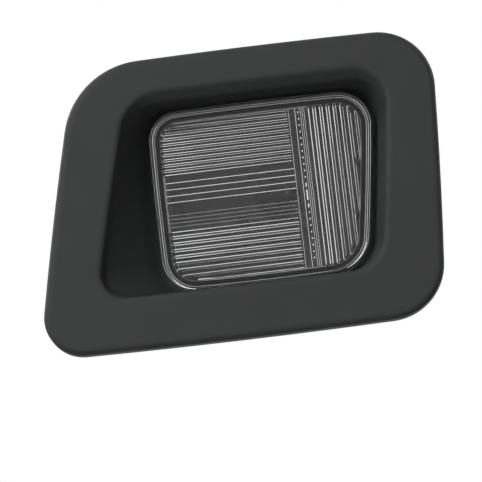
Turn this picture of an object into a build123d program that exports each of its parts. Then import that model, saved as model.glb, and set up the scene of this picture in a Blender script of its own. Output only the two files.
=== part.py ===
"""Number plate lamp that snaps into a panel from outside.

A black moulded housing carries a skewed flange, a recess, a collar for the lens and a lamp chamber.
A clear fluted cap closes the chamber, and a wedge bulb sits in a quarter-turn holder at the back.

Millimetres. The front faces -Y, with X to the right and Z up. The origin lies in the plane of the
rim behind the flange, which rests on the panel, so everything with Y above 0 is behind the panel.
"""

import os
from math import cos, radians, sin, tan

from build123d import *

os.makedirs("parts", exist_ok=True)

# Flange: corner values run top left, top right, bottom right, bottom left
flange_width = 89.8  # across the middle of its height
flange_height = 67.6
flange_left_lean = 12.4  # degrees, foot to the left
flange_right_lean = 3.8
flange_bow = 0.6
flange_radii = (19.5, 13.5, 13.5, 9.0)
flange_plate = 2.2
flange_edge = 0.6  # bevel round the front
rim_height = 2.0
rim_width = 2.4
rib_thickness = 1.4
rib_setback = 0.4  # ribs stay this far in front of the panel

# Recess: a bevelled mouth, then sides that run in to the throat round the lens
mouth_left = -31.5  # X of the side at Z = 0
mouth_right = 31.7
mouth_top = 23.6
mouth_bottom = -21.4
mouth_left_lean = 13.8
mouth_radii = (8.7, 6.5, 8.3, 5.4)
mouth_bow = 0.2
bevel_depth = 2.0
bevel_side = 1.0
bevel_top = 2.6
bevel_bottom = 0.5
throat_depth = 12.0  # below the face of the flange

# Lens
lens_left = -21.65
lens_right = 28.7
lens_top = 22.0
lens_bottom = -21.0
lens_right_lean = 7.5  # the right side of the recess leans with it
lens_radii = (6.8, 7.8, 9.7, 7.8)
lens_bow = 0.35
lens_depth = 8.0
lens_wall = 2.0
lens_proud = 6.0  # above the throat
lens_edge = 0.5
rim_overhang = 1.25  # beyond the skirt, all round
skirt_wall = 0.9
lens_gap = 0.35  # to the recess and the collar

# Flutes on the inner face of the lens
flute_pitch = 1.56
fine_pitch = 1.257  # of the upper flutes
upright_pitch = 1.61
flute_land = 0.4  # flat strip between two flutes
flute_steepness = 0.38  # height of a flute over its width
shallow_steepness = 0.16
ridge_width = 0.4
flute_margin = 2.4  # from the edge of the lens
upper_start = 18.9  # Z of the first upper flute
ridge_start = 5.25
shallow_start = -3.0
lower_start = -7.0
level_end = 11.4  # X where the level flutes end
upright_start = 15.25  # X of the first upright flute
upper_flutes = 10
ridges = 4
shallow_flutes = 3
lower_flutes = 8
upright_flutes = 9

# Housing walls and lamp chamber
wall = 1.8
seal_thickness = 1.0
chamber_step = 3.0  # from the lens outline in to the chamber
chamber_depth = 20.2
chamber_draft = 5.0  # degrees
back_wall = 2.4

# Panel fixings
panel_thickness = 2.0
panel_clearance = 0.3
cutout_clearance = 0.8  # from the recess wall to the edge of the panel cut-out
hook_reach = 2.3  # beyond the edge of the cut-out
hook_width = 7.0
hook_thickness = 2.6
hook_spacing = 19.0
hook_root = 2.0
latch_width = 12.0
latch_leg = 1.5
latch_web = 2.0
latch_reach = 1.8

# Bulb, on an axis parallel to Y
bulb_x = 6.5
bulb_z = 2.0
bulb_radius = 5.0
bulb_length = 26.8
bulb_glass_wall = 0.6
bulb_shoulder = 3.2
bulb_neck = 2.6  # radius where the shoulder meets the pinch
pinch_width = 9.5
pinch_thickness = 2.2
pinch_length = 9.6
pinch_insertion = 9.4  # into the holder
wire_radius = 0.25
wire_exit = 0.7  # from the pinch to the fold
wire_spread = 2.3  # from the axis to each lead wire
wire_fold = 6.0  # length folded back along the pinch
filament_radius = 0.35
filament_depth = 6.0  # from the tip of the bulb

# Holder
holder_front = 3.0  # in front of the back wall's inner face
stem_radius = 9.0
bore_clearance = 0.3
lug_count = 3
lug_reach = 2.3
lug_angle = 30.0
lug_thickness = 2.3
lug_clearance = 0.2
notch_angle = 36.0
boss_height = 1.2
boss_radius = 15.4
holder_seal_inner = 12.2
holder_seal_outer = 14.2
holder_seal_thickness = 1.4
holder_flange_radius = 14.9
holder_flange = 2.2
socket_width = 10.6
socket_height = 6.6
socket_floor_clearance = 0.3
grip_span = 26.0
grip_thickness = 3.2
grip_depth = 6.5
shroud_width = 17.0
shroud_height = 13.2
shroud_length = 15.0
shroud_wall = 1.7
shroud_radius = 2.0
shroud_floor = 3.6  # behind the holder's flange
shroud_ramp_width = 4.0
shroud_ramp_height = 1.2
shroud_ramp_length = 4.0

# Contacts
contact_thickness = 0.6
contact_width = 2.8
contact_spread = 3.2  # from the axis to the middle of each blade
contact_bend = 0.4
contact_flare = 0.8
contact_arm = 6.0  # length along the pinch
contact_lead = 1.8
contact_jog = 2.1  # run along which the strip steps over to its blade
blade_length = 8.6  # inside the connector shroud

# Stations along Y
plate_back_y = -rim_height
front_y = plate_back_y - flange_plate
bevel_y = front_y + bevel_depth
throat_y = front_y + throat_depth
lens_front_y = throat_y - lens_proud
lens_inner_y = lens_front_y + lens_wall
lens_rear_y = lens_front_y + lens_depth
ledge_y = lens_rear_y + seal_thickness
chamber_rear_y = ledge_y + chamber_depth
back_y = chamber_rear_y + back_wall
boss_y = back_y + boss_height
holder_front_y = chamber_rear_y - holder_front
holder_flange_y = boss_y + holder_seal_thickness
holder_back_y = holder_flange_y + holder_flange
shroud_floor_y = holder_back_y + shroud_floor
shroud_end_y = holder_back_y + shroud_length
pinch_end_y = holder_front_y + pinch_insertion
pinch_y = pinch_end_y - pinch_length
shoulder_y = pinch_y - bulb_shoulder
bulb_tip_y = pinch_end_y - bulb_length
filament_y = bulb_tip_y + filament_depth
wire_turn_y = pinch_end_y + wire_exit
socket_floor_y = wire_turn_y + wire_radius + socket_floor_clearance


def facing(y, x=0.0, z=0.0):
    """Plane at depth y that faces the front, with its sketch axes along X and Z."""
    return Plane(origin=(x, y, z), x_dir=(1, 0, 0), z_dir=(0, -1, 0))


def skewed(sides, leans, radii, bow, grow=(0.0, 0.0, 0.0, 0.0)):
    """Outline with a level top and bottom and two leaning sides, straight or bowed outwards.

    sides holds X of the left and right side at Z = 0, then Z of the top and bottom. grow moves the
    left, right, top and bottom outwards, and opens each corner by the mean of its two sides.
    """
    slope_left, slope_right = tan(radians(leans[0])), tan(radians(leans[1]))
    left = sides[0] - grow[0] / cos(radians(leans[0]))
    right = sides[1] + grow[1] / cos(radians(leans[1]))
    top, bottom = sides[2] + grow[2], sides[3] - grow[3]
    corners = [
        Vector(left + top * slope_left, top),
        Vector(right + top * slope_right, top),
        Vector(right + bottom * slope_right, bottom),
        Vector(left + bottom * slope_left, bottom),
    ]
    opened = [
        (grow[0] + grow[2]) / 2,
        (grow[1] + grow[2]) / 2,
        (grow[1] + grow[3]) / 2,
        (grow[0] + grow[3]) / 2,
    ]
    with BuildSketch() as sketch:
        with BuildLine():
            for start, end in zip(corners, corners[1:] + corners[:1]):
                along = (end - start).normalized()
                outward = Vector(-along.Y, along.X)
                if bow:
                    ThreePointArc(start, (start + end) / 2 + outward * bow, end)
                else:
                    Line(start, end)
        make_face()
        for corner, radius, more in zip(corners, radii, opened):
            fillet(sketch.vertices().sort_by_distance(corner)[0], radius + more)
    return sketch.sketch


def flange_outline(grow=0.0):
    half = flange_height / 2
    sides = (-flange_width / 2, flange_width / 2, half, -half)
    return skewed(sides, (flange_left_lean, flange_right_lean), flange_radii, flange_bow, (grow,) * 4)


def mouth_outline(left=0.0, right=0.0, top=0.0, bottom=0.0):
    sides = (mouth_left, mouth_right, mouth_top, mouth_bottom)
    leans = (mouth_left_lean, lens_right_lean)
    return skewed(sides, leans, mouth_radii, mouth_bow, (left, right, top, bottom))


def lens_outline(grow=0.0, bow=lens_bow):
    sides = (lens_left, lens_right, lens_top, lens_bottom)
    return skewed(sides, (0.0, lens_right_lean), lens_radii, bow, (grow,) * 4)


def sector(inner, outer, angle):
    """Ring sector about the sketch origin, centred on the sketch's Y axis."""
    half = radians(angle / 2)
    with BuildSketch() as sketch:
        with BuildLine():
            low = Line((inner * sin(half), inner * cos(half)), (outer * sin(half), outer * cos(half)))
            high = Line((-inner * sin(half), inner * cos(half)), (-outer * sin(half), outer * cos(half)))
            ThreePointArc(low @ 1, (0, outer), high @ 1)
            ThreePointArc(low @ 0, (0, inner), high @ 0)
        make_face()
    return sketch.sketch


def side_plane(x, lean, z, outward):
    """Plane across a leaning side: sketch X points outwards, sketch Y to the rear."""
    slope = radians(lean)
    return Plane(
        origin=(x + z * tan(slope), 0, z),
        x_dir=(outward * cos(slope), 0, -outward * sin(slope)),
        z_dir=(outward * sin(slope), 0, outward * cos(slope)),
    )


# Panel side of the fixings, measured outwards from the outer face of the recess wall
catch_y = panel_thickness + panel_clearance
wall_left = mouth_left - wall / cos(radians(mouth_left_lean))
wall_right = mouth_right + wall / cos(radians(lens_right_lean))
mouth_middle = (mouth_top + mouth_bottom) / 2

with BuildPart() as housing:
    # Flange plate with a bevelled front edge, and the rim behind it
    with BuildSketch(facing(front_y)):
        add(flange_outline())
    extrude(amount=-flange_plate)
    chamfer(housing.faces().sort_by(Axis.Y)[0].edges(), flange_edge)
    with BuildSketch(facing(plate_back_y)):
        add(flange_outline())
        add(flange_outline(-rim_width), mode=Mode.SUBTRACT)
    extrude(amount=-rim_height)
    # Stiffening ribs from the rim to the recess wall
    with BuildSketch(facing(plate_back_y)):
        with GridLocations(flange_width / 3, flange_height, 2, 1):
            Rectangle(rib_thickness, flange_height)
        with GridLocations(flange_width, flange_height / 3, 1, 2):
            Rectangle(flange_width + flange_height * tan(radians(flange_left_lean)), rib_thickness)
        add(flange_outline(-rim_width / 2), mode=Mode.INTERSECT)
    extrude(amount=-(rim_height - rib_setback))
    # Outside of the recess: straight behind the plate, then in to the collar
    with BuildSketch(facing(plate_back_y)):
        add(mouth_outline(wall, wall, wall, wall))
    extrude(amount=-(bevel_y + wall - plate_back_y))
    with BuildSketch(facing(bevel_y + wall)):
        add(mouth_outline(wall, wall, wall, wall))
    with BuildSketch(facing(throat_y + wall)):
        add(lens_outline(lens_gap + wall))
    loft(ruled=True)
    with BuildSketch(facing(throat_y + wall)):
        add(lens_outline(lens_gap + wall))
    extrude(amount=-(ledge_y - throat_y))
    # Outside of the lamp chamber, which widens forwards from its back, and the boss for the holder
    chamber_length = back_y - ledge_y - wall / 2
    narrowing = chamber_length * tan(radians(chamber_draft))
    with BuildSketch(facing(back_y)):
        add(lens_outline(wall - chamber_step - narrowing, bow=0.0))
    extrude(amount=chamber_length, taper=-chamber_draft)
    chamfer(housing.faces().sort_by(Axis.Y)[-1].edges(), wall)
    with BuildSketch(facing(back_y, bulb_x, bulb_z)):
        Circle(boss_radius)
    extrude(amount=-boss_height)
    # Two fixed hooks on the right
    for step in (-1, 1):
        at = side_plane(wall_right, lens_right_lean, mouth_middle + step * hook_spacing / 2, 1)
        with BuildSketch(at):
            with BuildLine():
                reach = cutout_clearance + hook_reach
                Polyline(
                    (-hook_root, catch_y),
                    (reach, catch_y),
                    (reach, catch_y + hook_thickness / 2),
                    (cutout_clearance, catch_y + hook_thickness),
                    (-hook_root, catch_y + hook_thickness),
                    close=True,
                )
            make_face()
        extrude(amount=hook_width / 2, both=True)
    # Sprung latch on the left: a web from the collar, then a leg that comes forward to its barb
    with BuildSketch(side_plane(wall_left, mouth_left_lean, mouth_middle, -1)):
        with BuildLine():
            root = mouth_left - lens_left - lens_wall
            heel = ledge_y + wall
            barb = cutout_clearance + latch_reach
            Polyline(
                (root, heel),
                (cutout_clearance, heel),
                (cutout_clearance, catch_y + 2 * latch_leg + latch_reach),
                (barb, catch_y + latch_leg),
                (barb, catch_y),
                (cutout_clearance - latch_leg, catch_y),
                (cutout_clearance - latch_leg, heel - latch_web),
                (root, heel - latch_web),
                close=True,
            )
        make_face()
    extrude(amount=latch_width / 2, both=True)
    # Bevelled mouth, running sides, collar for the lens and lamp chamber
    with BuildSketch(facing(front_y)):
        add(mouth_outline(bevel_side, bevel_side, bevel_top, bevel_bottom))
    with BuildSketch(facing(bevel_y)):
        add(mouth_outline())
    loft(ruled=True, mode=Mode.SUBTRACT)
    with BuildSketch(facing(bevel_y)):
        add(mouth_outline())
    with BuildSketch(facing(throat_y)):
        add(lens_outline(lens_gap))
    loft(ruled=True, mode=Mode.SUBTRACT)
    with BuildSketch(facing(throat_y)):
        add(lens_outline(lens_gap - rim_overhang))
    extrude(amount=-(ledge_y - throat_y), mode=Mode.SUBTRACT)
    with BuildSketch(facing(ledge_y)):
        add(lens_outline(-chamber_step, bow=0.0))
    extrude(amount=-chamber_depth, taper=chamber_draft, mode=Mode.SUBTRACT)
    # Bayonet opening for the holder
    with BuildSketch(facing(chamber_rear_y, bulb_x, bulb_z)):
        Circle(stem_radius + bore_clearance)
        with PolarLocations(0, lug_count):
            add(sector(stem_radius / 2, stem_radius + lug_reach + bore_clearance, notch_angle))
    extrude(amount=-(back_wall + boss_height), mode=Mode.SUBTRACT)
housing.part.label = "housing"


def flute(width, steepness):
    """Cross-section of one flute: sketch X is its height, and its root is sunk in the lens wall."""
    with BuildSketch() as sketch:
        with BuildLine():
            root = Polyline(
                (0, -width / 2),
                (-lens_wall / 4, -width / 2),
                (-lens_wall / 4, width / 2),
                (0, width / 2),
            )
            ThreePointArc(root @ 1, (width * steepness, 0), root @ 0)
        make_face()
    return sketch.sketch


# Level flutes down the lens: fine ones, thin ridges, a plain window, shallow ones and wide ones
wide, fine = flute_pitch - flute_land, fine_pitch - flute_land
rows = (
    (upper_start, upper_flutes, fine_pitch, fine, flute_steepness),
    (ridge_start, ridges, flute_pitch, ridge_width, flute_steepness),
    (shallow_start, shallow_flutes, fine_pitch, fine, shallow_steepness),
    (lower_start, lower_flutes, flute_pitch, wide, flute_steepness),
)

with BuildPart() as level_flutes:
    with BuildSketch(Plane(origin=(lens_left, 0, 0), x_dir=(0, 1, 0), z_dir=(1, 0, 0))):
        for start, count, pitch, width, steepness in rows:
            with Locations([(lens_inner_y, start - step * pitch) for step in range(count)]):
                add(flute(width, steepness))
    extrude(amount=level_end - lens_left)
    with BuildSketch(facing(lens_front_y)):
        add(lens_outline(-flute_margin))
    extrude(amount=-lens_depth, mode=Mode.INTERSECT)

with BuildPart() as upright_field:
    places = [upright_start + step * upright_pitch for step in range(upright_flutes)]
    with BuildSketch(Plane(origin=(0, 0, lens_top), x_dir=(0, 1, 0), z_dir=(0, 0, -1))):
        with Locations([(lens_inner_y, place) for place in places]):
            add(flute(upright_pitch - flute_land, flute_steepness))
    extrude(amount=lens_top - lens_bottom)
    with BuildSketch(facing(lens_front_y)):
        add(lens_outline(-flute_margin))
    extrude(amount=-lens_depth, mode=Mode.INTERSECT)

with BuildPart() as lens:
    with BuildSketch(facing(lens_front_y)):
        add(lens_outline())
    extrude(amount=-lens_wall)
    chamfer(lens.faces().sort_by(Axis.Y)[0].edges(), lens_edge)
    with BuildSketch(facing(lens_inner_y)):
        add(lens_outline(-rim_overhang))
        add(lens_outline(-rim_overhang - skirt_wall), mode=Mode.SUBTRACT)
    extrude(amount=-(lens_rear_y - lens_inner_y))
    add(level_flutes.part)
    add(upright_field.part)
lens.part.label = "lens"

with BuildPart() as lens_seal:
    with BuildSketch(facing(lens_rear_y)):
        add(lens_outline(lens_gap - rim_overhang))
        add(lens_outline(-rim_overhang - skirt_wall), mode=Mode.SUBTRACT)
    extrude(amount=-seal_thickness)
lens_seal.part.label = "lens_seal"


def lead_wire(side):
    """Wire from the filament through the pinch, folded back on the pinch's upper or lower face."""
    fold = side * -(pinch_thickness / 2 + wire_radius)
    along = Plane(origin=(bulb_x + side * wire_spread, 0, bulb_z), x_dir=(0, 1, 0), z_dir=(1, 0, 0))
    with BuildPart() as wire:
        with BuildLine(along) as path:
            Polyline(
                (filament_y - filament_radius, 0),
                (wire_turn_y, 0),
                (wire_turn_y, fold),
                (pinch_end_y - wire_fold, fold),
            )
        with BuildSketch(Plane(origin=path.line @ 0, z_dir=path.line % 0)):
            Circle(wire_radius)
        sweep(transition=Transition.RIGHT)
    return wire.part


with BuildPart() as lead_wire_left:
    add(lead_wire(-1))
lead_wire_left.part.label = "lead_wire_left"

with BuildPart() as lead_wire_right:
    add(lead_wire(1))
lead_wire_right.part.label = "lead_wire_right"

filament_length = 2 * (wire_spread - wire_radius)
with BuildPart() as filament:
    start = (bulb_x - filament_length / 2, filament_y, bulb_z)
    with BuildSketch(Plane(origin=start, x_dir=(0, 1, 0), z_dir=(1, 0, 0))):
        Circle(filament_radius)
    extrude(amount=filament_length)
filament.part.label = "filament"

with BuildPart() as bulb_glass:
    with BuildSketch(Plane(origin=(bulb_x, 0, bulb_z), x_dir=(1, 0, 0), z_dir=(0, 0, 1))):
        dome_y = bulb_tip_y + bulb_radius
        with BuildLine():
            dome = CenterArc((0, dome_y), bulb_radius, -90, 90)
            Polyline(
                dome @ 1,
                (bulb_radius, shoulder_y),
                (bulb_neck, pinch_y),
                (0, pinch_y),
                dome @ 0,
            )
        make_face()
        with BuildLine():
            bore = bulb_radius - bulb_glass_wall
            Polyline(
                (0, bulb_tip_y + 2 * bulb_glass_wall),
                (bore / 2, bulb_tip_y + 2 * bulb_glass_wall),
                (bore, dome_y),
                (bore, shoulder_y),
                (0, shoulder_y),
                close=True,
            )
        make_face(mode=Mode.SUBTRACT)
    revolve(axis=Axis((bulb_x, 0, bulb_z), (0, 1, 0)))
    with BuildSketch(facing(pinch_y - bulb_glass_wall, bulb_x, bulb_z)):
        Rectangle(pinch_width, pinch_thickness)
    extrude(amount=-(pinch_length + bulb_glass_wall))
    add(lead_wire_left.part, mode=Mode.SUBTRACT)
    add(lead_wire_right.part, mode=Mode.SUBTRACT)
bulb_glass.part.label = "bulb_glass"


def contact(side):
    """Bent strip: sprung arm against the folded wire, a step through the holder, then a blade."""
    rise = side * -(pinch_thickness / 2 + 2 * wire_radius + contact_thickness / 2)
    arm_y = pinch_end_y - contact_arm
    step_y = socket_floor_y + contact_thickness
    across = Plane(origin=(bulb_x + side * contact_spread, 0, bulb_z), x_dir=(0, 1, 0), z_dir=(1, 0, 0))
    with BuildPart() as strip:
        with BuildSketch(across):
            with BuildLine():
                FilletPolyline(
                    (arm_y - contact_lead, rise - side * contact_flare),
                    (arm_y, rise),
                    (step_y, rise),
                    (step_y + contact_jog, 0),
                    (shroud_floor_y + blade_length, 0),
                    radius=contact_bend,
                )
                offset(amount=contact_thickness / 2, side=Side.BOTH)
            make_face()
        extrude(amount=contact_width / 2, both=True)
    return strip.part


with BuildPart() as contact_left:
    add(contact(-1))
contact_left.part.label = "contact_left"

with BuildPart() as contact_right:
    add(contact(1))
contact_right.part.label = "contact_right"

with BuildPart() as holder_seal:
    with BuildSketch(facing(boss_y, bulb_x, bulb_z)):
        Circle(holder_seal_outer)
        Circle(holder_seal_inner, mode=Mode.SUBTRACT)
    extrude(amount=-holder_seal_thickness)
holder_seal.part.label = "holder_seal"

with BuildPart() as bulb_holder:
    # Stem with its bayonet lugs, and the flange that presses the seal
    with BuildSketch(facing(holder_front_y, bulb_x, bulb_z)):
        Circle(stem_radius)
    extrude(amount=-(holder_flange_y - holder_front_y))
    with BuildSketch(facing(chamber_rear_y - lug_clearance - lug_thickness, bulb_x, bulb_z)):
        with PolarLocations(0, lug_count, start_angle=180 / lug_count):
            add(sector(stem_radius / 2, stem_radius + lug_reach, lug_angle))
    extrude(amount=-lug_thickness)
    with BuildSketch(facing(holder_flange_y, bulb_x, bulb_z)):
        Circle(holder_flange_radius)
    extrude(amount=-holder_flange)
    # Grip and connector shroud
    with BuildSketch(facing(holder_back_y, bulb_x, bulb_z)):
        Rectangle(grip_span, grip_thickness)
    extrude(amount=-grip_depth)
    with BuildSketch(facing(holder_back_y, bulb_x, bulb_z)):
        RectangleRounded(shroud_width, shroud_height, shroud_radius)
    extrude(amount=-shroud_length)
    with BuildSketch(Plane(origin=(bulb_x, 0, bulb_z), x_dir=(0, 1, 0), z_dir=(1, 0, 0))):
        with BuildLine():
            ramp_end = shroud_end_y - shroud_wall
            Polyline(
                (ramp_end, shroud_height / 2),
                (ramp_end - shroud_ramp_length, shroud_height / 2 + shroud_ramp_height),
                (ramp_end - shroud_ramp_length, shroud_height / 2 - shroud_wall / 2),
                (ramp_end, shroud_height / 2 - shroud_wall / 2),
                close=True,
            )
        make_face()
    extrude(amount=shroud_ramp_width / 2, both=True)
    # Socket for the bulb, connector cavity and the passages of the contacts
    with BuildSketch(facing(holder_front_y, bulb_x, bulb_z)):
        Rectangle(socket_width, socket_height)
    extrude(amount=-(socket_floor_y - holder_front_y), mode=Mode.SUBTRACT)
    with BuildSketch(facing(shroud_floor_y, bulb_x, bulb_z)):
        RectangleRounded(
            shroud_width - 2 * shroud_wall,
            shroud_height - 2 * shroud_wall,
            shroud_radius / 2,
        )
    extrude(amount=-(shroud_end_y - shroud_floor_y), mode=Mode.SUBTRACT)
    add(contact_left.part, mode=Mode.SUBTRACT)
    add(contact_right.part, mode=Mode.SUBTRACT)
bulb_holder.part.label = "bulb_holder"

export_step(housing.part, "parts/housing.step")
export_step(lens.part, "parts/lens.step")
export_step(lens_seal.part, "parts/lens_seal.step")
export_step(bulb_glass.part, "parts/bulb_glass.step")
export_step(filament.part, "parts/filament.step")
export_step(lead_wire_left.part, "parts/lead_wire_left.step")
export_step(lead_wire_right.part, "parts/lead_wire_right.step")
export_step(bulb_holder.part, "parts/bulb_holder.step")
export_step(holder_seal.part, "parts/holder_seal.step")
export_step(contact_left.part, "parts/contact_left.step")
export_step(contact_right.part, "parts/contact_right.step")
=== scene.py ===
"""Looks of the number plate lamp, in the frame of its CAD model.

The housing, seals, holder, contacts, bulb glass and lead wires keep their CAD shapes and get finishes
here. The clear lens and the filament are made anew: the lens with rounded edges, flowing flutes, thin
ridges and a column of dots and dashes, the filament as a coil. Metres, with the front facing -Y, X to
the right and Z up.
"""

from math import atan2, cos, pi, radians, sin, tan

import bmesh
import bpy
from bpy.props import FloatProperty, FloatVectorProperty, IntProperty, PointerProperty
from mathutils import Matrix, Vector


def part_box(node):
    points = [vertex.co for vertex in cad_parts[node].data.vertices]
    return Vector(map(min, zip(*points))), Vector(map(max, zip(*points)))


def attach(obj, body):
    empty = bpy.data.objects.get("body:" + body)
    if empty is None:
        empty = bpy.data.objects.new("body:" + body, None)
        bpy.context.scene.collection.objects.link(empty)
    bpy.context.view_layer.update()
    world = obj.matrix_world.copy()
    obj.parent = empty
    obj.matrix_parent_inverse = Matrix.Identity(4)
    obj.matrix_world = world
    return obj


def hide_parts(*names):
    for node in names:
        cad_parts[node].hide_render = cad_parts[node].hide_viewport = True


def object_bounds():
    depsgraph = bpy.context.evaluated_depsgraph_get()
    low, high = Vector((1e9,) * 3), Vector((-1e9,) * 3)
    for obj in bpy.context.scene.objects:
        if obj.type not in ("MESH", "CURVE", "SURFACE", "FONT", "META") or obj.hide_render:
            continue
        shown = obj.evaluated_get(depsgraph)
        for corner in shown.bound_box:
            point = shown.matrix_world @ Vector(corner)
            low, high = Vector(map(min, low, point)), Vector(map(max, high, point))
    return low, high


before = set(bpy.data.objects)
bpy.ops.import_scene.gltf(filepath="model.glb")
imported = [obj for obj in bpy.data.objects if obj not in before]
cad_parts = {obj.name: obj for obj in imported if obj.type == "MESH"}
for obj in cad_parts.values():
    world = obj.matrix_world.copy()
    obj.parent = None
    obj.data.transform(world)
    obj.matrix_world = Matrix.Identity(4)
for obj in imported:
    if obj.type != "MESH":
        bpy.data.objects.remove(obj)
cad_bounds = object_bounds()
lens_low, lens_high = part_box("lens")
filament_low, filament_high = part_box("filament")

bl_info = {
    "name": "Number plate lamp",
    "version": (1, 0, 0),
    "blender": (4, 5, 0),
    "location": "View3D > Sidebar > Lamp",
    "description": "Finishes, lens flutes and studio of a number plate lamp",
    "category": "Object",
}


def length(name, default, description):
    return FloatProperty(
        name=name, description=description, default=default, min=0.0, precision=5, unit="LENGTH"
    )


def colour(name, default, description):
    return FloatVectorProperty(
        name=name, description=description, default=default, size=3, min=0.0, max=1.0, subtype="COLOR"
    )


def amount(name, default, description):
    return FloatProperty(name=name, description=description, default=default, min=0.0, subtype="FACTOR")


class LampLensSettings(bpy.types.PropertyGroup):
    """Sizes of the clear lens and its flutes."""

    wall: length("Wall", 0.002, "Thickness of the front")
    edge_radius: length("Edge radius", 0.0005, "Rounding of the front edge")
    bow: length("Bow", 0.00035, "How far each side swells outwards")
    overhang: length("Rim overhang", 0.00125, "Of the front beyond the skirt")
    skirt: length("Skirt", 0.0009, "Thickness of the skirt")
    rib_height: length("Rib height", 0.00016, "Height of the two ribs behind the rim")
    bead_width: length("Bead width", 0.00026, "Width of the bead inside the skirt")
    bead_height: length("Bead height", 0.0001, "Height of the bead inside the skirt")
    margin: length("Flute margin", 0.0024, "From the edge of the lens to the flutes")
    pitch: length("Flute pitch", 0.00156, "Step between the wide flutes")
    fine_pitch: length("Fine pitch", 0.001257, "Step between the upper flutes")
    upright_pitch: length("Upright pitch", 0.00161, "Step between the upright flutes")
    land: length("Flute land", 0.0004, "Flat strip between two flutes")
    steepness: amount("Flute steepness", 0.38, "Height of a full flute over its width")
    ridge: length("Ridge width", 0.00014, "Width of a thin ridge")
    ridge_tilt: FloatProperty(
        name="Ridge tilt", description="Of the level ridges", default=radians(6.4), unit="ROTATION"
    )
    upper_start: length("Upper flutes", 0.0189, "Height of the first upper flute")
    ridge_start: length("Ridges", 0.00525, "Height of the first thin ridge")
    faint_start: length("Faint ridges", 0.0025, "Depth of the first faint ridge below the middle")
    lower_start: length("Lower flutes", 0.00702, "Depth of the first lower flute below the middle")
    level_end: length("Level flutes' end", 0.0114, "Where the level flutes end, to the right of the middle")
    line_place: length("Upright ridge", 0.0131, "Place of the upright ridge beside the level flutes")
    dot_place: length("Dots", 0.0138, "Place of the column of dots")
    upright_start: length("Upright flutes", 0.01525, "Place of the first upright flute")
    divisions: IntProperty(
        name="Divisions", description="Strips across one flute", default=25, min=5, max=99
    )


class LampFinishSettings(bpy.types.PropertyGroup):
    """Colours and gloss of the lamp's materials."""

    housing_colour: colour("Housing", (0.04, 0.0425, 0.0415), "Charcoal of the moulded housing")
    housing_gloss: amount("Housing gloss", 0.45, "Specular level of the matt housing")
    housing_roughness: amount("Housing roughness", 0.55, "Roughness of the moulded grain")
    housing_edge: length("Housing edge", 0.0022, "Radius of the housing's soft edges")
    lens_tint: colour("Lens tint", (0.825, 0.83, 0.835), "Tint of the clear lens")
    lens_index: FloatProperty(
        name="Lens index", description="Refractive index of the lens", default=1.49, min=1.0, max=2.0
    )
    bulb_tint: colour("Bulb tint", (0.97, 0.97, 0.965), "Tint of the bulb's glass")
    bulb_index: FloatProperty(
        name="Bulb index", description="Refractive index of the bulb's glass", default=1.08, min=1.0, max=2.0
    )
    lead_wire_colour: colour("Lead wires", (0.55, 0.55, 0.56), "Bright wire of the bulb's leads")
    filament_colour: colour("Filament", (0.3, 0.3, 0.31), "Grey of the tungsten coil")
    rubber_colour: colour("Rubber", (0.018, 0.018, 0.018), "Black of the seals")
    holder_colour: colour("Holder", (0.03, 0.03, 0.031), "Black of the bulb holder")
    contact_colour: colour("Contacts", (0.74, 0.68, 0.52), "Tinned brass of the contacts")


class LampStageSettings(bpy.types.PropertyGroup):
    """Camera, light, floor and card."""

    focal_length: FloatProperty(
        name="Focal length", description="Of the camera, in mm", default=300.0, min=1.0, unit="CAMERA"
    )
    frame_width: length("Frame width", 0.11324, "Width that the picture spans at the lamp")
    ambient: amount("Ambient", 0.05, "Strength of the surroundings on matt surfaces")
    key: FloatProperty(name="Key", description="Power of the large light", default=8.0, min=0.0, unit="POWER")
    floor_colour: colour("Floor", (0.82, 0.82, 0.82), "Pale studio floor")
    floor_paleness: amount("Floor paleness", 0.9, "Added to the floor's tone in the picture")
    floor_drop: length("Floor drop", 0.6, "From the lamp's lowest point down to the floor")
    card_colour: colour("Card", (0.006, 0.006, 0.006), "Dark card beside the lamp")


def link(obj):
    bpy.context.scene.collection.objects.link(obj)
    return obj


def wire(tree, *pairs):
    """Links each pair of an output and an input socket."""
    for source, target in pairs:
        tree.links.new(source, target)


def add_node(tree, kind, **values):
    """New node. A value is a setting of the node, or else goes to the input with that name."""
    made = tree.nodes.new(kind)
    for key, value in values.items():
        if hasattr(made, key):
            setattr(made, key, value)
        else:
            made.inputs[key.replace("_", " ")].default_value = value
    return made


def maths(tree, operation, first, second):
    """Math node. Each operand is a number or an output socket."""
    made = tree.nodes.new("ShaderNodeMath")
    made.operation = operation
    for socket, operand in zip(made.inputs, (first, second)):
        if isinstance(operand, (int, float)):
            socket.default_value = operand
        else:
            tree.links.new(operand, socket)
    return made.outputs[0]


def new_material(name):
    """Material with its node tree, its main shader and its object coordinates."""
    material = bpy.data.materials.new(name)
    material.use_nodes = True
    tree = material.node_tree
    shader = tree.nodes["Principled BSDF"]
    place = tree.nodes.new("ShaderNodeTexCoord").outputs["Object"]
    return material, tree, shader, place


def noise(tree, place, scale, detail=2.0):
    made = add_node(tree, "ShaderNodeTexNoise", Scale=scale, Detail=detail)
    wire(tree, (place, made.inputs["Vector"]))
    return made.outputs["Fac"]


def ramp(tree, factor, low, high):
    """Colour ramp over the middle of a noise's range, from low to high, each a colour or a grey."""
    made = tree.nodes.new("ShaderNodeValToRGB")
    for stop, position, value in zip(made.color_ramp.elements, (0.35, 0.65), (low, high)):
        stop.position = position
        stop.color = (*(value if isinstance(value, tuple) else (value,) * 3), 1.0)
    wire(tree, (factor, made.inputs["Fac"]))
    return made.outputs["Color"]


def scaled(base, factor):
    """Colour made darker or paler by a factor."""
    return tuple(min(1.0, part * factor) for part in base)


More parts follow.
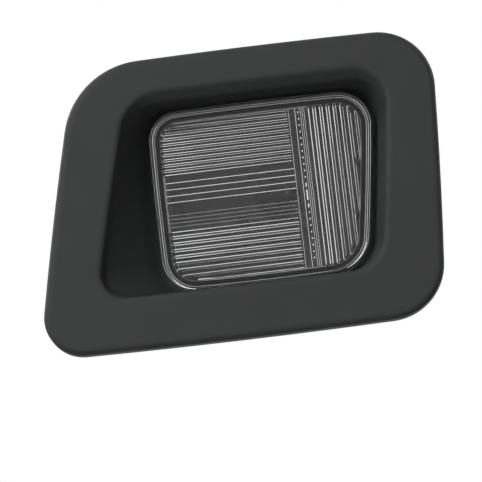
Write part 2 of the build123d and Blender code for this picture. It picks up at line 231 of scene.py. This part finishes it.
def grain(tree, shader, height, strength, distance, edge=0.0):
    """Bump from a height, over edges rounded by the radius edge."""
    bump = add_node(tree, "ShaderNodeBump", Strength=strength, Distance=distance)
    wire(tree, (height, bump.inputs["Height"]), (bump.outputs["Normal"], shader.inputs["Normal"]))
    if edge:
        rounded = add_node(tree, "ShaderNodeBevel", samples=6, Radius=edge)
        wire(tree, (rounded.outputs["Normal"], bump.inputs["Normal"]))


def moulded_plastic(name, base, gloss, roughness, edge=0.00025):
    """Matt moulded plastic: fine spark-eroded grain, and faint cloudiness in colour and gloss."""
    material, tree, shader, place = new_material(name)
    shader.inputs["Specular IOR Level"].default_value = gloss
    cloud = noise(tree, place, scale=90.0, detail=3.0)
    speck = noise(tree, place, scale=3800.0, detail=1.0)
    wire(
        tree,
        (ramp(tree, cloud, scaled(base, 0.94), scaled(base, 1.06)), shader.inputs["Base Color"]),
        (ramp(tree, speck, roughness - 0.05, roughness + 0.07), shader.inputs["Roughness"]),
    )
    grain(tree, shader, speck, strength=0.36, distance=0.00006, edge=edge)
    return material


def seal_rubber(name, base):
    """Soft black rubber with a dusty bloom."""
    material, tree, shader, place = new_material(name)
    shader.inputs["Specular IOR Level"].default_value = 0.2
    bloom = noise(tree, place, scale=420.0, detail=4.0)
    skin = noise(tree, place, scale=2500.0)
    wire(
        tree,
        (ramp(tree, bloom, scaled(base, 0.8), scaled(base, 1.5)), shader.inputs["Base Color"]),
        (ramp(tree, bloom, 0.62, 0.8), shader.inputs["Roughness"]),
    )
    grain(tree, shader, skin, strength=0.15, distance=0.00004, edge=0.0002)
    return material


def clear_moulding(name, tint, index, haze=0.012, window=None, etching=0.18):
    """Clear moulded lens or blown glass: even tint, and a trace of haze that comes and goes.

    window gives the right end, foot and top of a level strip that is finely etched, and etching the
    roughness there.
    """
    material, tree, shader, place = new_material(name)
    shader.inputs["Transmission Weight"].default_value = 1.0
    shader.inputs["IOR"].default_value = index
    shader.inputs["Specular Tint"].default_value = (0.7, 0.7, 0.7, 1.0)
    cloud = noise(tree, place, scale=160.0, detail=3.0)
    roughness = ramp(tree, cloud, haze * 0.4, haze * 1.6)
    if window:
        spot = tree.nodes.new("ShaderNodeSeparateXYZ")
        wire(tree, (place, spot.inputs[0]))
        right, foot, top = window
        inside = maths(tree, "LESS_THAN", spot.outputs["X"], right)
        inside = maths(tree, "MULTIPLY", inside, maths(tree, "GREATER_THAN", spot.outputs["Z"], foot))
        inside = maths(tree, "MULTIPLY", inside, maths(tree, "LESS_THAN", spot.outputs["Z"], top))
        roughness = maths(tree, "MAXIMUM", roughness, maths(tree, "MULTIPLY", inside, etching))
    wire(
        tree,
        (ramp(tree, cloud, scaled(tint, 0.985), tuple(tint)), shader.inputs["Base Color"]),
        (roughness, shader.inputs["Roughness"]),
    )
    return material


def drawn_metal(name, base, roughness):
    """Drawn or rolled metal with fine lines along the lamp's depth."""
    material, tree, shader, place = new_material(name)
    shader.inputs["Metallic"].default_value = 1.0
    mapping = tree.nodes.new("ShaderNodeMapping")
    mapping.inputs["Scale"].default_value = (1.0, 0.06, 1.0)
    wire(tree, (place, mapping.inputs["Vector"]))
    lines = noise(tree, mapping.outputs["Vector"], scale=9000.0, detail=3.0)
    wire(
        tree,
        (ramp(tree, lines, scaled(base, 0.88), scaled(base, 1.08)), shader.inputs["Base Color"]),
        (ramp(tree, lines, roughness - 0.08, roughness + 0.1), shader.inputs["Roughness"]),
    )
    grain(tree, shader, lines, strength=0.1, distance=0.00002)
    return material


def finish_node(name, material):
    """Gives a CAD node its material."""
    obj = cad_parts[name]
    obj.data.materials.clear()
    obj.data.materials.append(material)


def piece(name, mesh, node):
    """Object of a finished mesh that stands for a CAD node."""
    obj = link(bpy.data.objects.new(name, mesh))
    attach(obj, "root")
    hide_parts(node)


def new_tree(name, inputs):
    """Geometry node tree with named inputs, given as (name, socket kind), and one mesh as its output."""
    tree = bpy.data.node_groups.new(name, "GeometryNodeTree")
    for label, kind in inputs:
        tree.interface.new_socket(label, in_out="INPUT", socket_type=kind)
    tree.interface.new_socket("Geometry", in_out="OUTPUT", socket_type="NodeSocketGeometry")
    return tree, tree.nodes.new("NodeGroupInput").outputs, tree.nodes.new("NodeGroupOutput").inputs


def grown(name, tree, values):
    """Mesh that a geometry node tree makes from values named as its inputs."""
    obj = link(bpy.data.objects.new(name, bpy.data.meshes.new(name)))
    modifier = obj.modifiers.new(name, "NODES")
    modifier.node_group = tree
    for socket in tree.interface.items_tree:
        if socket.in_out == "INPUT":
            modifier[socket.identifier] = values[socket.name]
    mesh = solid_mesh(obj)
    bpy.data.objects.remove(obj)
    return mesh


def solid_mesh(obj):
    """Plain mesh of an object with its modifiers applied."""
    return bpy.data.meshes.new_from_object(obj.evaluated_get(bpy.context.evaluated_depsgraph_get()))


def flute_tree():
    """Row of bars with arched crests and rounded ends. A bar runs along X, crest to Z, before Turn."""
    tree, given, result = new_tree(
        "flute_row",
        (
            ("Length", "NodeSocketFloat"),
            ("Width", "NodeSocketFloat"),
            ("Height", "NodeSocketFloat"),
            ("Root", "NodeSocketFloat"),
            ("Divisions", "NodeSocketInt"),
            ("Count", "NodeSocketInt"),
            ("Start", "NodeSocketVector"),
            ("Step", "NodeSocketVector"),
            ("Turn", "NodeSocketVector"),
            ("Material", "NodeSocketMaterial"),
        ),
    )
    rounds = 6  # rings that round each end
    end_turn = radians(80)  # how far an end curves round
    size = tree.nodes.new("ShaderNodeCombineXYZ")
    bar = add_node(tree, "GeometryNodeMeshCube", Vertices_X=2 * rounds, Vertices_Z=2)
    spot = tree.nodes.new("ShaderNodeSeparateXYZ")
    crest = tree.nodes.new("ShaderNodeCombineXYZ")
    foot = tree.nodes.new("ShaderNodeCombineXYZ")
    level = add_node(tree, "GeometryNodeSwitch", input_type="VECTOR")
    shaped = tree.nodes.new("GeometryNodeSetPosition")
    turned = tree.nodes.new("GeometryNodeTransform")
    row = add_node(tree, "GeometryNodeMeshLine", mode="OFFSET")
    copies = tree.nodes.new("GeometryNodeInstanceOnPoints")
    joined = tree.nodes.new("GeometryNodeRealizeInstances")
    clad = tree.nodes.new("GeometryNodeSetMaterial")
    wire(tree, (tree.nodes.new("GeometryNodeInputPosition").outputs[0], spot.inputs[0]))
    along, across, up = spot.outputs

    # Arc of the crest: its half angle, its radius, and the place of each strip on it
    half = maths(tree, "MULTIPLY", given["Width"], 0.5)
    spread = maths(tree, "MULTIPLY", maths(tree, "ARCTAN2", given["Height"], half), 2.0)
    radius = maths(tree, "DIVIDE", half, maths(tree, "SINE", spread, 0.0))
    lean = maths(tree, "MULTIPLY", maths(tree, "DIVIDE", across, half), spread)
    rise = maths(tree, "SUBTRACT", maths(tree, "COSINE", lean, 0.0), maths(tree, "COSINE", spread, 0.0))

    # Rounded ends: all rings but the middle pair bunch up there and narrow
    reach = maths(tree, "MULTIPLY", given["Length"], 0.5)
    share = maths(tree, "DIVIDE", maths(tree, "ABSOLUTE", along, 0.0), reach)
    ring = maths(tree, "SUBTRACT", maths(tree, "MULTIPLY", share, 2 * rounds - 1), 1.0)
    bend = maths(tree, "MULTIPLY", ring, end_turn / (2 * rounds - 2))
    narrow = maths(tree, "COSINE", bend, 0.0)
    short = maths(tree, "MULTIPLY", half, maths(tree, "SUBTRACT", 1.0, maths(tree, "SINE", bend, 0.0)))
    place = maths(tree, "MULTIPLY", maths(tree, "SIGN", along, 0.0), maths(tree, "SUBTRACT", reach, short))
    shrunk = maths(tree, "MULTIPLY", radius, narrow)
    wire(
        tree,
        (given["Length"], size.inputs["X"]),
        (given["Width"], size.inputs["Y"]),
        (given["Root"], size.inputs["Z"]),
        (size.outputs[0], bar.inputs["Size"]),
        (given["Divisions"], bar.inputs["Vertices Y"]),
        (place, crest.inputs["X"]),
        (maths(tree, "MULTIPLY", shrunk, maths(tree, "SINE", lean, 0.0)), crest.inputs["Y"]),
        (maths(tree, "MULTIPLY", shrunk, rise), crest.inputs["Z"]),
        (place, foot.inputs["X"]),
        (maths(tree, "MULTIPLY", across, narrow), foot.inputs["Y"]),
        (up, foot.inputs["Z"]),
        (maths(tree, "GREATER_THAN", up, 0.0), level.inputs["Switch"]),
        (foot.outputs[0], level.inputs["False"]),
        (crest.outputs[0], level.inputs["True"]),
        (bar.outputs["Mesh"], shaped.inputs["Geometry"]),
        (level.outputs[0], shaped.inputs["Position"]),
        (shaped.outputs[0], turned.inputs["Geometry"]),
        (given["Turn"], turned.inputs["Rotation"]),
        (given["Count"], row.inputs["Count"]),
        (given["Start"], row.inputs["Start Location"]),
        (given["Step"], row.inputs["Offset"]),
        (row.outputs[0], copies.inputs["Points"]),
        (turned.outputs[0], copies.inputs["Instance"]),
        (copies.outputs[0], joined.inputs[0]),
        (joined.outputs[0], clad.inputs["Geometry"]),
        (given["Material"], clad.inputs["Material"]),
        (clad.outputs[0], result["Geometry"]),
    )
    return tree


def coil_tree():
    """Wire wound along X, from Start in the middle of the coil's first end."""
    tree, given, result = new_tree(
        "filament_coil",
        (
            ("Turns", "NodeSocketFloat"),
            ("Coil Radius", "NodeSocketFloat"),
            ("Coil Length", "NodeSocketFloat"),
            ("Wire Radius", "NodeSocketFloat"),
            ("Start", "NodeSocketVector"),
            ("Material", "NodeSocketMaterial"),
        ),
    )
    helix = add_node(tree, "GeometryNodeCurveSpiral", Resolution=18)
    section = add_node(tree, "GeometryNodeCurvePrimitiveCircle", Resolution=8)
    tube = add_node(tree, "GeometryNodeCurveToMesh", Fill_Caps=True)
    turned = tree.nodes.new("GeometryNodeTransform")
    turned.inputs["Rotation"].default_value = (0.0, pi / 2, 0.0)
    joined = tree.nodes.new("GeometryNodeRealizeInstances")
    clad = tree.nodes.new("GeometryNodeSetMaterial")
    wire(
        tree,
        (given["Turns"], helix.inputs["Rotations"]),
        (given["Coil Radius"], helix.inputs["Start Radius"]),
        (given["Coil Radius"], helix.inputs["End Radius"]),
        (given["Coil Length"], helix.inputs["Height"]),
        (given["Wire Radius"], section.inputs["Radius"]),
        (helix.outputs[0], tube.inputs["Curve"]),
        (section.outputs[0], tube.inputs["Profile Curve"]),
        (tube.outputs[0], turned.inputs["Geometry"]),
        (given["Start"], turned.inputs["Translation"]),
        (turned.outputs[0], joined.inputs[0]),
        (joined.outputs[0], clad.inputs["Geometry"]),
        (given["Material"], clad.inputs["Material"]),
        (clad.outputs[0], result["Geometry"]),
    )
    return tree


# Outline of the lens, with its corners from the top left clockwise as seen from the front
lens_right = 0.0287  # X of the right side at Z = 0
lens_right_lean = radians(7.5)
lens_corner_radii = (0.0068, 0.0078, 0.0097, 0.0078)
corner_steps, side_steps = 14, 8


def lens_outline(grow, bow):
    """Points (x, z) round the lens, moved outwards by grow."""
    slope = tan(lens_right_lean)
    left, top, bottom = lens_low.x + bow - grow, lens_high.z - bow + grow, lens_low.z + bow - grow
    foot = lens_right + grow / cos(lens_right_lean)
    corners = [
        Vector((left, top)),
        Vector((foot + top * slope, top)),
        Vector((foot + bottom * slope, bottom)),
        Vector((left, bottom)),
    ]
    points = []
    for step, corner in enumerate(corners):
        before, after = corners[step - 1], corners[(step + 1) % 4]
        arrive, leave = (corner - before).normalized(), (after - corner).normalized()
        turn = arrive.angle(leave)
        radius = lens_corner_radii[step] + grow
        cut = radius * tan(turn / 2)
        normal_in, normal_out = Vector((-arrive.y, arrive.x)), Vector((-leave.y, leave.x))
        centre = corner - arrive * cut - normal_in * radius
        next_turn = leave.angle((corners[(step + 2) % 4] - after).normalized())
        next_cut = (lens_corner_radii[(step + 1) % 4] + grow) * tan(next_turn / 2)
        side = (after - corner).length
        side_before = (corner - before).length
        swell_in = bow * (1 - (1 - 2 * cut / side_before) ** 2)
        swell_out = bow * (1 - (1 - 2 * cut / side) ** 2)
        for arc in range(corner_steps + 1):
            share = arc / corner_steps
            turned = Matrix.Rotation(-turn * share, 2) @ normal_in
            points.append(centre + turned * (radius + swell_in * (1 - share) + swell_out * share))
        for run in range(1, side_steps):
            along = cut + (side - cut - next_cut) * run / side_steps
            swell = bow * (1 - (1 - 2 * along / side) ** 2)
            points.append(corner + leave * along + normal_out * swell)
    return points


def closed_solid(name, rings):
    """Mesh through rings of as many (x, y, z) points each, with both ends filled."""
    shape = bmesh.new()
    loops = [[shape.verts.new(point) for point in ring] for ring in rings]
    for first, second in zip(loops, loops[1:]):
        for here in range(len(first)):
            there = (here + 1) % len(first)
            shape.faces.new((first[here], first[there], second[there], second[here]))
    shape.faces.new(loops[0])
    shape.faces.new(loops[-1])
    bmesh.ops.recalc_face_normals(shape, faces=shape.faces)
    mesh = bpy.data.meshes.new(name)
    shape.to_mesh(mesh)
    shape.free()
    return mesh


def combined(first, second, operation):
    """Mesh of a boolean of two meshes."""
    objects = [link(bpy.data.objects.new("combined", mesh)) for mesh in (first, second)]
    modifier = objects[0].modifiers.new("combined", "BOOLEAN")
    modifier.operation, modifier.solver, modifier.object = operation, "EXACT", objects[1]
    mesh = solid_mesh(objects[0])
    for obj in objects:
        bpy.data.objects.remove(obj)
    return mesh


def arch(start, end, level, height):
    """Points (grow, y) over an arched rib that stands on a level between two places."""
    steps = 10
    half, middle = (start - end) / 2, (start + end) / 2
    spread = 2 * atan2(height, half)
    radius = half / sin(spread)
    turns = [spread * (1 - 2 * step / steps) for step in range(steps + 1)]
    return [(middle + radius * sin(turn), level + radius * (cos(turn) - cos(spread))) for turn in turns]


def lens_cap(settings):
    """Cap of the lens: flat front, rounded rim with two ribs behind it, skirt and hollow inside."""
    edge_steps, cove_steps = 8, 4
    front, rear = lens_low.y, lens_high.y
    inner = front + settings.wall
    radius = settings.edge_radius
    cove = settings.skirt / 4  # in the corner between the skirt and the inner face
    clear = settings.skirt / 18  # flat strip beside the ribs and the bead
    skirt_out = -settings.overhang
    skirt_in = skirt_out - settings.skirt
    face_edge = -radius * 1.3  # the flat front is filled from here
    profile = [(face_edge, front)]
    for step in range(edge_steps + 1):
        angle = pi / 2 * step / edge_steps
        profile.append((-radius * (1 - sin(angle)), front + radius * (1 - cos(angle))))
    between = (skirt_out - clear) / 2
    profile.append((0.0, inner))
    profile += arch(-clear, between, inner, settings.rib_height)
    profile += arch(between, skirt_out + clear, inner, settings.rib_height)[1:]
    profile += [(skirt_out, inner), (skirt_out, rear), (skirt_in, rear)]
    for step in range(cove_steps + 1):
        angle = pi / 2 * step / cove_steps
        profile.append((skirt_in - cove * (1 - cos(angle)), inner + cove * (1 - sin(angle))))
    bead = skirt_in - cove - clear
    profile += arch(bead, bead - settings.bead_width, inner, settings.bead_height)
    profile.append((bead - settings.bead_width - clear, inner))
    rings = [[(x, y, z) for x, z in lens_outline(grow, settings.bow)] for grow, y in profile]
    return closed_solid("lens_cap", rings)


# Numbers of flutes, ridges, dots and dashes in their rows
upper_flutes, lower_flutes, upright_flutes = 10, 8, 8
ridges, faint_ridges, upright_lines = 4, 4, 3
upper_dots, dashes, lower_dots = 11, 2, 8

# Thin ridges and dots are prisms with flat sides at 45 degrees, with these shares of the ridge width
prism_divisions, prism_steepness = 3, 0.5
faint_share, line_share, side_line_share = 0.4, 0.5, 0.7
dot_share, dash_share, long_dash_share = 1.6, 1.8, 2.0

# Steps between faint ridges, upright lines and dashes, as shares of the fine, upright and wide pitch
faint_step, line_step, dash_step = 0.75, 0.28, 3.2
line_lead = 0.0009  # from the first of the upright lines to where the upright flutes start
upright_steepness = 0.9  # of the steepness of the level flutes

# Column of dots and dashes: the heights of the first ones, and their lengths
upper_dots_z, dashes_z, long_dash_z, lower_dots_z = 0.0186, 0.0011, -0.0013, -0.0055
dot_ridges, dash_length, long_dash_length = 4, 0.0011, 0.0027  # a dot's length is in ridge widths


def lens_zones(settings):
    """Rows of flutes, ridges and dots: form, step, X and Z of the first, count, width and steepness."""
    left, right = lens_low.x, settings.level_end
    top, bottom = lens_high.z, lens_low.z
    across, middle = (left + right) / 2, (top + bottom) / 2
    ridge, steep, prism = settings.ridge, settings.steepness, prism_steepness
    wide, narrow = settings.pitch - settings.land, settings.fine_pitch - settings.land
    down, fine = Vector((0.0, 0.0, -settings.pitch)), Vector((0.0, 0.0, -settings.fine_pitch))
    aside = Vector((settings.upright_pitch, 0.0, 0.0))
    column, start, faint_z = settings.dot_place, settings.upright_start, -settings.faint_start
    upright_steep = steep * upright_steepness

    level = {"Length": right - left, "Turn": (-pi / 2, 0.0, 0.0), "Divisions": settings.divisions}
    upright = {"Length": top - bottom, "Turn": (-pi / 2, pi / 2, 0.0), "Divisions": settings.divisions}
    tilted = (-pi / 2 + settings.ridge_tilt, 0.0, 0.0)
    level_ridge = {**level, "Turn": tilted, "Divisions": prism_divisions}
    line = {**upright, "Divisions": prism_divisions}
    dot = {**line, "Length": ridge * dot_ridges}
    dash, long_dash = {**dot, "Length": dash_length}, {**dot, "Length": long_dash_length}
    return (
        (level, fine, across, settings.upper_start, upper_flutes, narrow, steep),
        (level_ridge, down, across, settings.ridge_start, ridges, ridge, prism),
        (level_ridge, fine * faint_step, across, faint_z, faint_ridges, ridge * faint_share, prism),
        (level, down, across, -settings.lower_start, lower_flutes, wide, steep),
        (line, aside, settings.level_end + ridge, middle, 1, ridge * line_share, prism),
        (line, aside, settings.line_place, middle, 1, ridge * side_line_share, prism),
        (dot, down, column, upper_dots_z, upper_dots, ridge * dot_share, prism),
        (dash, down * dash_step, column, dashes_z, dashes, ridge * dash_share, prism),
        (long_dash, down, column, long_dash_z, 1, ridge * long_dash_share, prism),
        (dot, down, column, lower_dots_z, lower_dots, ridge * dot_share, prism),
        (line, aside * line_step, start - line_lead, middle, upright_lines, ridge * line_share, prism),
        (upright, aside, start + settings.upright_pitch, middle, upright_flutes, wide, upright_steep),
    )


def lens_flutes(settings, material):
    """All flutes on the inner face, with gently sloping ends along the outline of the lens."""
    tree = flute_tree()
    sink = 0.00002  # of the flutes' feet into the inner face
    depth = lens_low.y + settings.wall - sink
    shape = bmesh.new()
    for form, step, x, z, count, width, steepness in lens_zones(settings):
        root = width + 2 * sink
        mesh = grown(
            "flutes",
            tree,
            {
                **form,
                "Width": root,
                "Height": root * steepness,
                "Root": settings.wall / 2,
                "Count": count,
                "Step": step,
                "Start": (x, depth, z),
                "Material": material,
            },
        )
        shape.from_mesh(mesh)
        bpy.data.meshes.remove(mesh)
    bars = bpy.data.meshes.new("flutes")
    shape.to_mesh(bars)
    shape.free()
    slope = settings.wall / 2
    rings = []
    for side in (-1, 1):
        outline = lens_outline(-settings.margin - side * slope, settings.bow)
        rings.append([(x, depth + side * slope / 2, z) for x, z in outline])
    return combined(bars, closed_solid("limit", rings), "INTERSECT")


class LampHousing(bpy.types.Operator):
    """Gives the moulded housing its grained black plastic"""

    bl_idname = "number_plate_lamp.housing"
    bl_label = "Housing"

    def execute(self, context):
        finish = context.scene.lamp_finish
        finish_node(
            "housing",
            moulded_plastic(
                "housing_plastic",
                finish.housing_colour,
                finish.housing_gloss,
                finish.housing_roughness,
                edge=finish.housing_edge,
            ),
        )
        return {"FINISHED"}


class LampLens(bpy.types.Operator):
    """Makes the clear fluted lens and its finish"""

    bl_idname = "number_plate_lamp.lens"
    bl_label = "Lens"

    def execute(self, context):
        settings, finish = context.scene.lamp_lens, context.scene.lamp_finish

        # The etched strip runs from above the lower flutes to below the thin ridges
        window = (
            settings.level_end,
            settings.land - settings.lower_start + settings.pitch / 2,
            settings.ridge_start - (ridges - 1) * settings.pitch - settings.ridge,
        )
        material = clear_moulding("clear_lens", finish.lens_tint, finish.lens_index, window=window)
        mesh = combined(lens_cap(settings), lens_flutes(settings, material), "UNION")
        mesh.materials.clear()
        mesh.materials.append(material)
        mesh.shade_smooth()
        mesh.set_sharp_from_angle(angle=radians(35))
        piece("fluted_lens", mesh, "lens")
        return {"FINISHED"}


class LampBulb(bpy.types.Operator):
    """Finishes the bulb's glass and lead wires, and winds its filament"""

    bl_idname = "number_plate_lamp.bulb"
    bl_label = "Bulb"

    def execute(self, context):
        finish = context.scene.lamp_finish
        glass = clear_moulding("bulb_glass", finish.bulb_tint, finish.bulb_index, haze=0.006)
        finish_node("bulb_glass", glass)
        wires = drawn_metal("lead_wire", finish.lead_wire_colour, roughness=0.32)
        finish_node("lead_wire_left", wires)
        finish_node("lead_wire_right", wires)
        tungsten = drawn_metal("filament_wire", finish.filament_colour, roughness=0.4)
        turns = 16.0
        radius = (filament_high.z - filament_low.z) / 2
        strand = radius / 5
        mesh = grown(
            "filament",
            coil_tree(),
            {
                "Turns": turns,
                "Coil Radius": radius - strand,
                "Coil Length": filament_high.x - filament_low.x,
                "Wire Radius": strand,
                "Start": (
                    filament_low.x,
                    (filament_low.y + filament_high.y) / 2,
                    (filament_low.z + filament_high.z) / 2,
                ),
                "Material": tungsten,
            },
        )
        mesh.shade_smooth()
        piece("filament_coil", mesh, "filament")
        return {"FINISHED"}


class LampHolder(bpy.types.Operator):
    """Finishes the quarter-turn holder and its contacts"""

    bl_idname = "number_plate_lamp.holder"
    bl_label = "Holder"

    def execute(self, context):
        finish = context.scene.lamp_finish
        plastic = moulded_plastic("holder_plastic", finish.holder_colour, gloss=0.35, roughness=0.42)
        finish_node("bulb_holder", plastic)
        strip = drawn_metal("contact_brass", finish.contact_colour, roughness=0.3)
        finish_node("contact_left", strip)
        finish_node("contact_right", strip)
        return {"FINISHED"}


class LampSeals(bpy.types.Operator):
    """Finishes the two rubber seals"""

    bl_idname = "number_plate_lamp.seals"
    bl_label = "Seals"

    def execute(self, context):
        rubber = seal_rubber("seal_rubber", context.scene.lamp_finish.rubber_colour)
        finish_node("lens_seal", rubber)
        finish_node("holder_seal", rubber)
        return {"FINISHED"}


def studio_world(ambient):
    """White surroundings for the camera, gloss and glass, and a plain level of light for the rest."""
    world = bpy.data.worlds.new("studio")
    world.use_nodes = True
    tree = world.node_tree
    tree.nodes.clear()
    rays = tree.nodes.new("ShaderNodeLightPath").outputs
    soft = add_node(tree, "ShaderNodeBackground", Color=(1.0, 1.0, 1.0, 1.0), Strength=ambient)
    white = add_node(tree, "ShaderNodeBackground", Color=(1.0, 1.0, 1.0, 1.0), Strength=1.0)
    mixed = tree.nodes.new("ShaderNodeMixShader")
    output = tree.nodes.new("ShaderNodeOutputWorld")
    gloss = maths(tree, "MAXIMUM", rays["Is Glossy Ray"], rays["Is Transmission Ray"])
    wire(
        tree,
        (maths(tree, "MAXIMUM", rays["Is Camera Ray"], gloss), mixed.inputs[0]),
        (soft.outputs[0], mixed.inputs[1]),
        (white.outputs[0], mixed.inputs[2]),
        (mixed.outputs[0], output.inputs["Surface"]),
    )
    bpy.context.scene.world = world


def soft_light(name, place, size, power):
    """Round light that shines on the lamp and isn't seen through the lens."""
    light = bpy.data.lights.new(name, "AREA")
    light.shape, light.size, light.energy = "DISK", size, power
    obj = link(bpy.data.objects.new(name, light))
    obj.location = place
    obj.rotation_euler = (-Vector(place)).to_track_quat("-Z", "Y").to_euler()
    obj.visible_transmission = False


def stage_sheet(name, corners, base, scale, paleness=0.0):
    """Matt sheet of the stage, with a trace of cloudiness and paler to the camera by paleness."""
    mesh = bpy.data.meshes.new(name)
    mesh.from_pydata(corners, [], [(0, 1, 2, 3)])
    material, tree, shader, place = new_material(name)
    shader.inputs["Roughness"].default_value = 0.9
    shader.inputs["Specular IOR Level"].default_value = 0.1
    tone = noise(tree, place, scale)
    shader.inputs["Emission Color"].default_value = (1.0, 1.0, 1.0, 1.0)
    seen = tree.nodes.new("ShaderNodeLightPath").outputs["Is Camera Ray"]
    wire(
        tree,
        (ramp(tree, tone, scaled(base, 0.98), tuple(base)), shader.inputs["Base Color"]),
        (maths(tree, "MULTIPLY", seen, paleness), shader.inputs["Emission Strength"]),
    )
    mesh.materials.append(material)
    sheet = link(bpy.data.objects.new(name, mesh))
    return sheet


def lay_floor(stage):
    """Pale floor below the lamp."""
    half, level = 1.5, cad_bounds[0].z - stage.floor_drop
    corners = [(-half, -half, level), (half, -half, level), (half, half, level), (-half, half, level)]
    stage_sheet("floor", corners, stage.floor_colour, scale=6.0, paleness=stage.floor_paleness)


def hang_card(stage):
    """Dark card at the right, unseen by the camera, that keeps the left side of the recess dark."""
    side, ahead, rise = 0.15, -0.1, 0.3
    corners = [(side, ahead, -rise), (side, 0.0, -rise), (side, 0.0, rise), (side, ahead, rise)]
    card = stage_sheet("dark_card", corners, stage.card_colour, scale=900.0)
    card.visible_camera = card.visible_shadow = False


def place_camera(stage):
    """Camera a little below the normal of the flange and right of it, looking up and rolled to the right."""
    swing, drop, roll = radians(2.2), radians(9.5), radians(6.44)
    shift_right, shift_up = -0.00161, -0.01107
    level_right = Vector((cos(swing), sin(swing), 0.0))
    back = Vector((sin(swing) * cos(drop), -cos(swing) * cos(drop), -sin(drop)))
    level_up = back.cross(level_right)
    right = level_right * cos(roll) - level_up * sin(roll)
    up = level_right * sin(roll) + level_up * cos(roll)
    camera = bpy.data.cameras.new("camera")
    camera.lens, camera.sensor_width = stage.focal_length, 36.0
    distance = stage.frame_width * camera.lens / camera.sensor_width
    obj = link(bpy.data.objects.new("camera", camera))
    turn = Matrix((right, up, back)).transposed().to_4x4()
    obj.matrix_world = Matrix.Translation(back * distance + right * shift_right + up * shift_up) @ turn
    return obj


class LampStage(bpy.types.Operator):
    """Sets up the floor, the card, the soft light and the camera"""

    bl_idname = "number_plate_lamp.stage"
    bl_label = "Stage"

    def execute(self, context):
        stage = context.scene.lamp_stage
        studio_world(stage.ambient)
        lay_floor(stage)
        hang_card(stage)
        left_share, right_share = 0.45, 0.4  # of the key's power
        soft_light("key", place=(-0.8, -1.0, 0.75), size=0.6, power=stage.key)
        soft_light("back_left", place=(-0.5, 0.6, 0.35), size=0.5, power=stage.key * left_share)
        soft_light("back_right", place=(0.55, 0.5, 0.3), size=0.5, power=stage.key * right_share)
        context.scene.camera = place_camera(stage)
        context.scene.view_settings.view_transform = "Standard"
        return {"FINISHED"}


class LampPanel(bpy.types.Panel):
    """Sizes, finishes and steps of the lamp"""

    bl_idname = "VIEW3D_PT_number_plate_lamp"
    bl_label = "Number plate lamp"
    bl_space_type = "VIEW_3D"
    bl_region_type = "UI"
    bl_category = "Lamp"

    def draw(self, context):
        for group in (context.scene.lamp_lens, context.scene.lamp_finish, context.scene.lamp_stage):
            box = self.layout.box()
            for name in group.__annotations__:
                box.prop(group, name)
        for operator in operators:
            self.layout.operator(operator.bl_idname)


groups = (LampLensSettings, LampFinishSettings, LampStageSettings)
operators = (LampHousing, LampLens, LampBulb, LampHolder, LampSeals, LampStage)


def register():
    for kind in (*groups, *operators, LampPanel):
        bpy.utils.register_class(kind)
    bpy.types.Scene.lamp_lens = PointerProperty(type=LampLensSettings)
    bpy.types.Scene.lamp_finish = PointerProperty(type=LampFinishSettings)
    bpy.types.Scene.lamp_stage = PointerProperty(type=LampStageSettings)


def unregister():
    del bpy.types.Scene.lamp_stage, bpy.types.Scene.lamp_finish, bpy.types.Scene.lamp_lens
    for kind in reversed((*groups, *operators, LampPanel)):
        bpy.utils.unregister_class(kind)


def main():
    register()
    bpy.ops.number_plate_lamp.housing()
    bpy.ops.number_plate_lamp.lens()
    bpy.ops.number_plate_lamp.bulb()
    bpy.ops.number_plate_lamp.holder()
    bpy.ops.number_plate_lamp.seals()
    bpy.ops.number_plate_lamp.stage()


if __name__ == "__main__":
    main()
